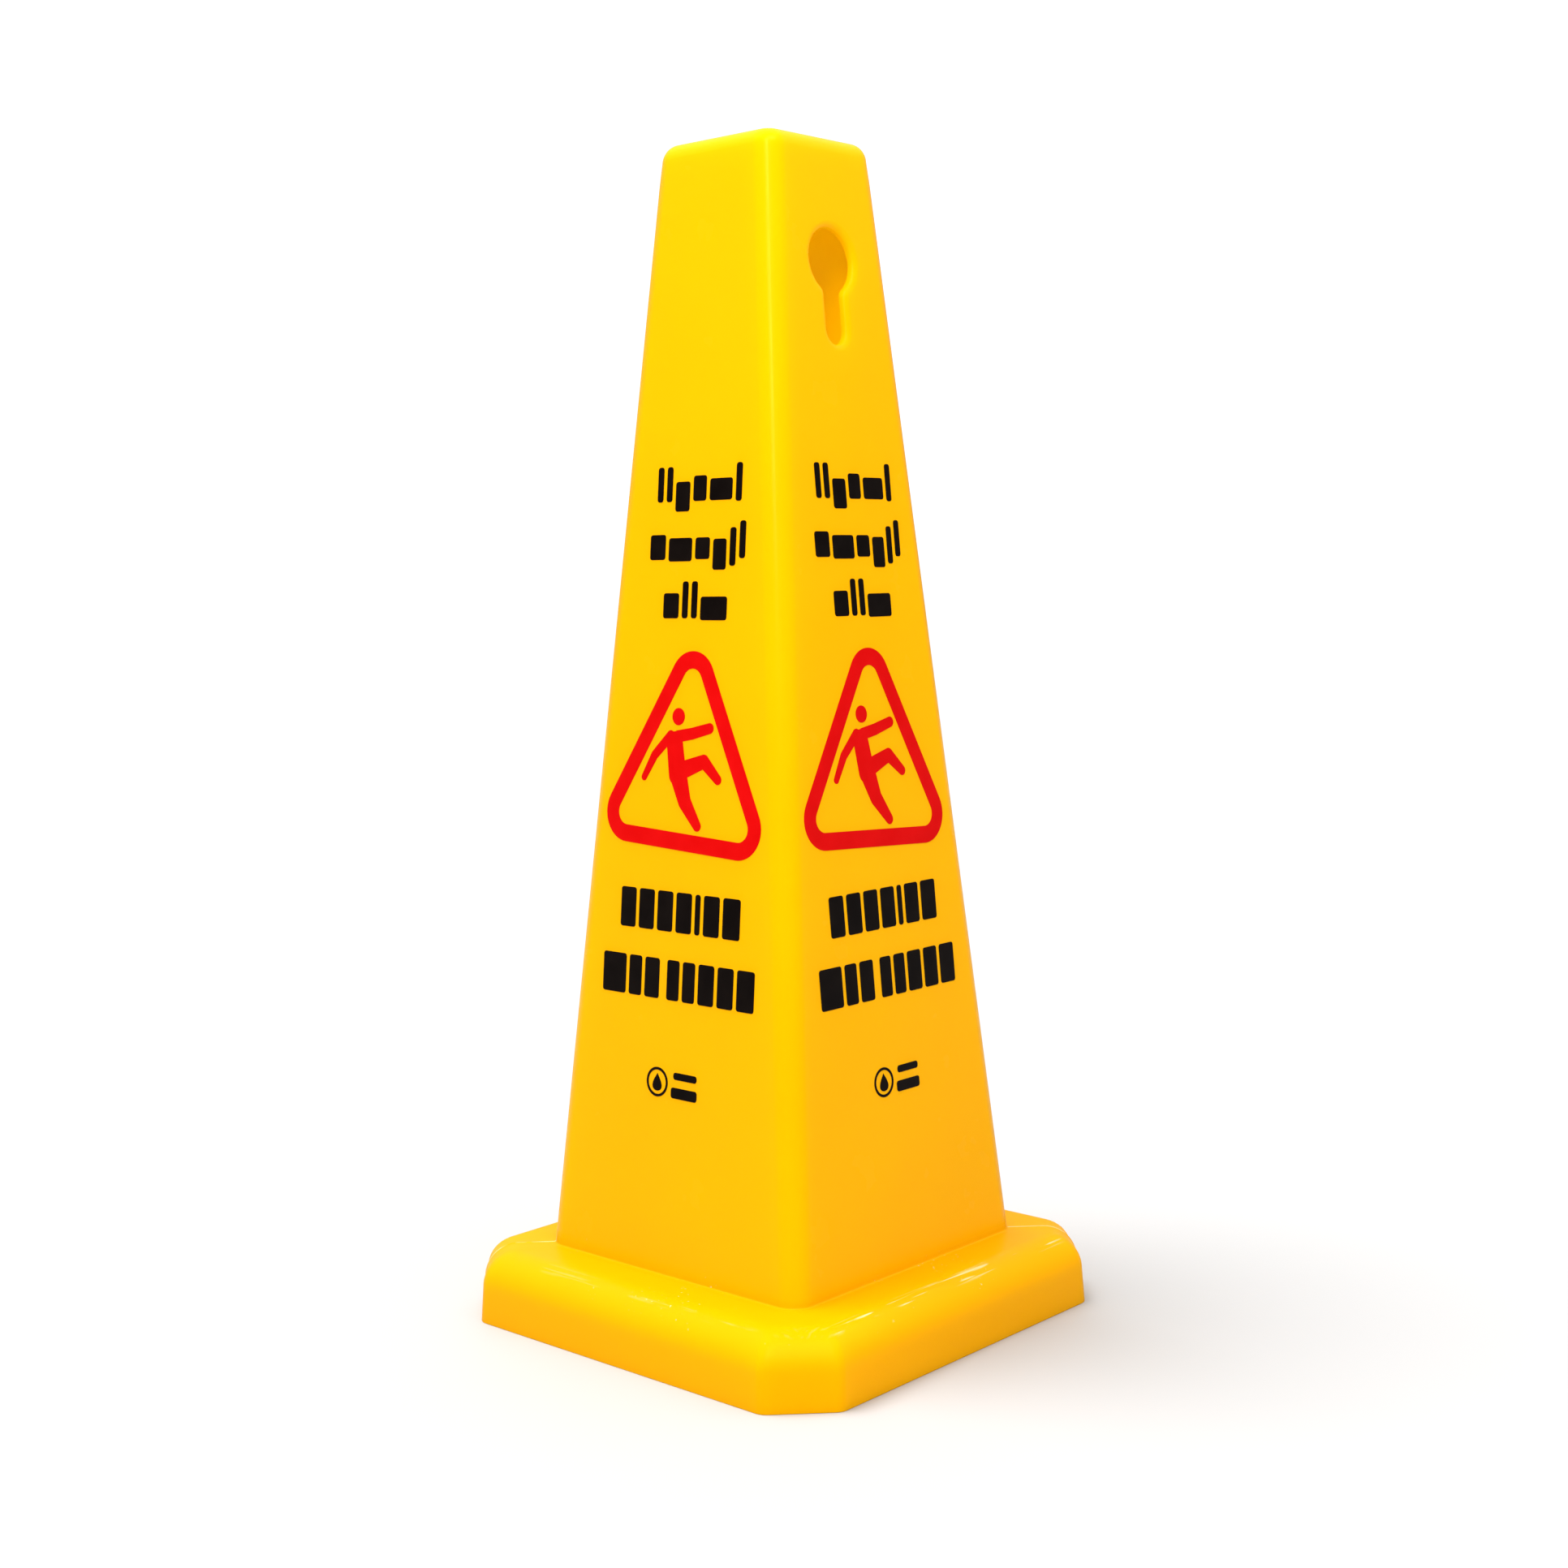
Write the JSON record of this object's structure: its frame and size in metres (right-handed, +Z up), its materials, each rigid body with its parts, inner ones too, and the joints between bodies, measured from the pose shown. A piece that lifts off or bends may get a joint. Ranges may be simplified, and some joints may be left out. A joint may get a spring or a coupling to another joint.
{
  "type": "wet floor sign",
  "caption": "Free-standing four-sided floor safety cone with a skirted base, printed warning symbols and keyholes for a barrier chain.",
  "frame": {"origin": "middle of the footprint, on the floor that the base stands on", "axes": "+Z up along the cone's axis; +X out of a face with a keyhole; -Y out of the front face, which has none"},
  "size_m": [0.28, 0.28, 0.67],
  "materials": {
    "moulding": "semi-gloss moulded polyethylene, safety yellow",
    "black_print": "satin black screen print",
    "red_print": "satin red screen print"
  },
  "bodies": {
    "root": {"cone_shell": "moulding", "upper_legend_front": "black_print", "upper_legend_right": "black_print", "upper_legend_back": "black_print", "upper_legend_left": "black_print", "warning_triangle_front": "red_print", "warning_triangle_right": "red_print", "warning_triangle_back": "red_print", "warning_triangle_left": "red_print", "slip_figure_front": "red_print", "slip_figure_right": "red_print", "slip_figure_back": "red_print", "slip_figure_left": "red_print", "lower_legend_front": "black_print", "lower_legend_right": "black_print", "lower_legend_back": "black_print", "lower_legend_left": "black_print", "drop_mark_front": "black_print", "drop_mark_right": "black_print", "drop_mark_back": "black_print", "drop_mark_left": "black_print"}
  },
  "joints": []
}
